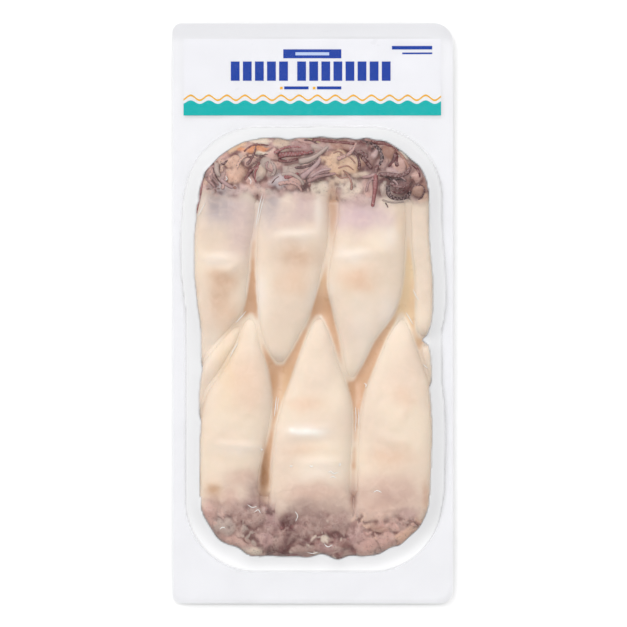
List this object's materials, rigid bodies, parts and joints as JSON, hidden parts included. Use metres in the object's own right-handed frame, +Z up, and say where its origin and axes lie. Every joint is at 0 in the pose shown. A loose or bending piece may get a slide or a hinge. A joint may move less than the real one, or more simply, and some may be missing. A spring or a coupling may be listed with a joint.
{
  "type": "vacuum skin pack of whole cleaned squid",
  "caption": "Flat white tray with a wide printed header, holding whole cleaned squid under a clear skin film: cream body tubes in two rows, tips inwards, with dark tentacles at both ends.",
  "frame": {"origin": "middle of the pack in plan, on the surface that the tray's floor rests on", "axes": "+Z up through the clear face, +Y towards the printed header, +X to the right of someone who looks down on the pack with its header away from them"},
  "size_m": [0.15, 0.31, 0.0171],
  "materials": {
    "tray": "white formed plastic, satin",
    "label": "printed film label, satin",
    "film": "clear glossy shrink film",
    "mantle": "raw squid body wall, moist, cream and translucent",
    "tentacles": "raw squid arms, moist, mauve to dark plum with pale flesh"
  },
  "bodies": {
    "root": {"tray": "tray", "label": "label", "skin_film": "film", "mantle_head_first": "mantle", "mantle_head_second": "mantle", "mantle_head_third": "mantle", "mantle_head_fourth": "mantle", "mantle_foot_left": "mantle", "mantle_foot_middle": "mantle", "mantle_foot_right": "mantle", "mantle_lower_left": "mantle", "mantle_lower_middle": "mantle", "mantle_lower_right": "mantle", "tentacles_head_left": "tentacles", "tentacles_head_middle": "tentacles", "tentacles_head_right": "tentacles", "tentacles_foot_left": "tentacles", "tentacles_foot_middle": "tentacles", "tentacles_foot_right": "tentacles"}
  },
  "joints": []
}
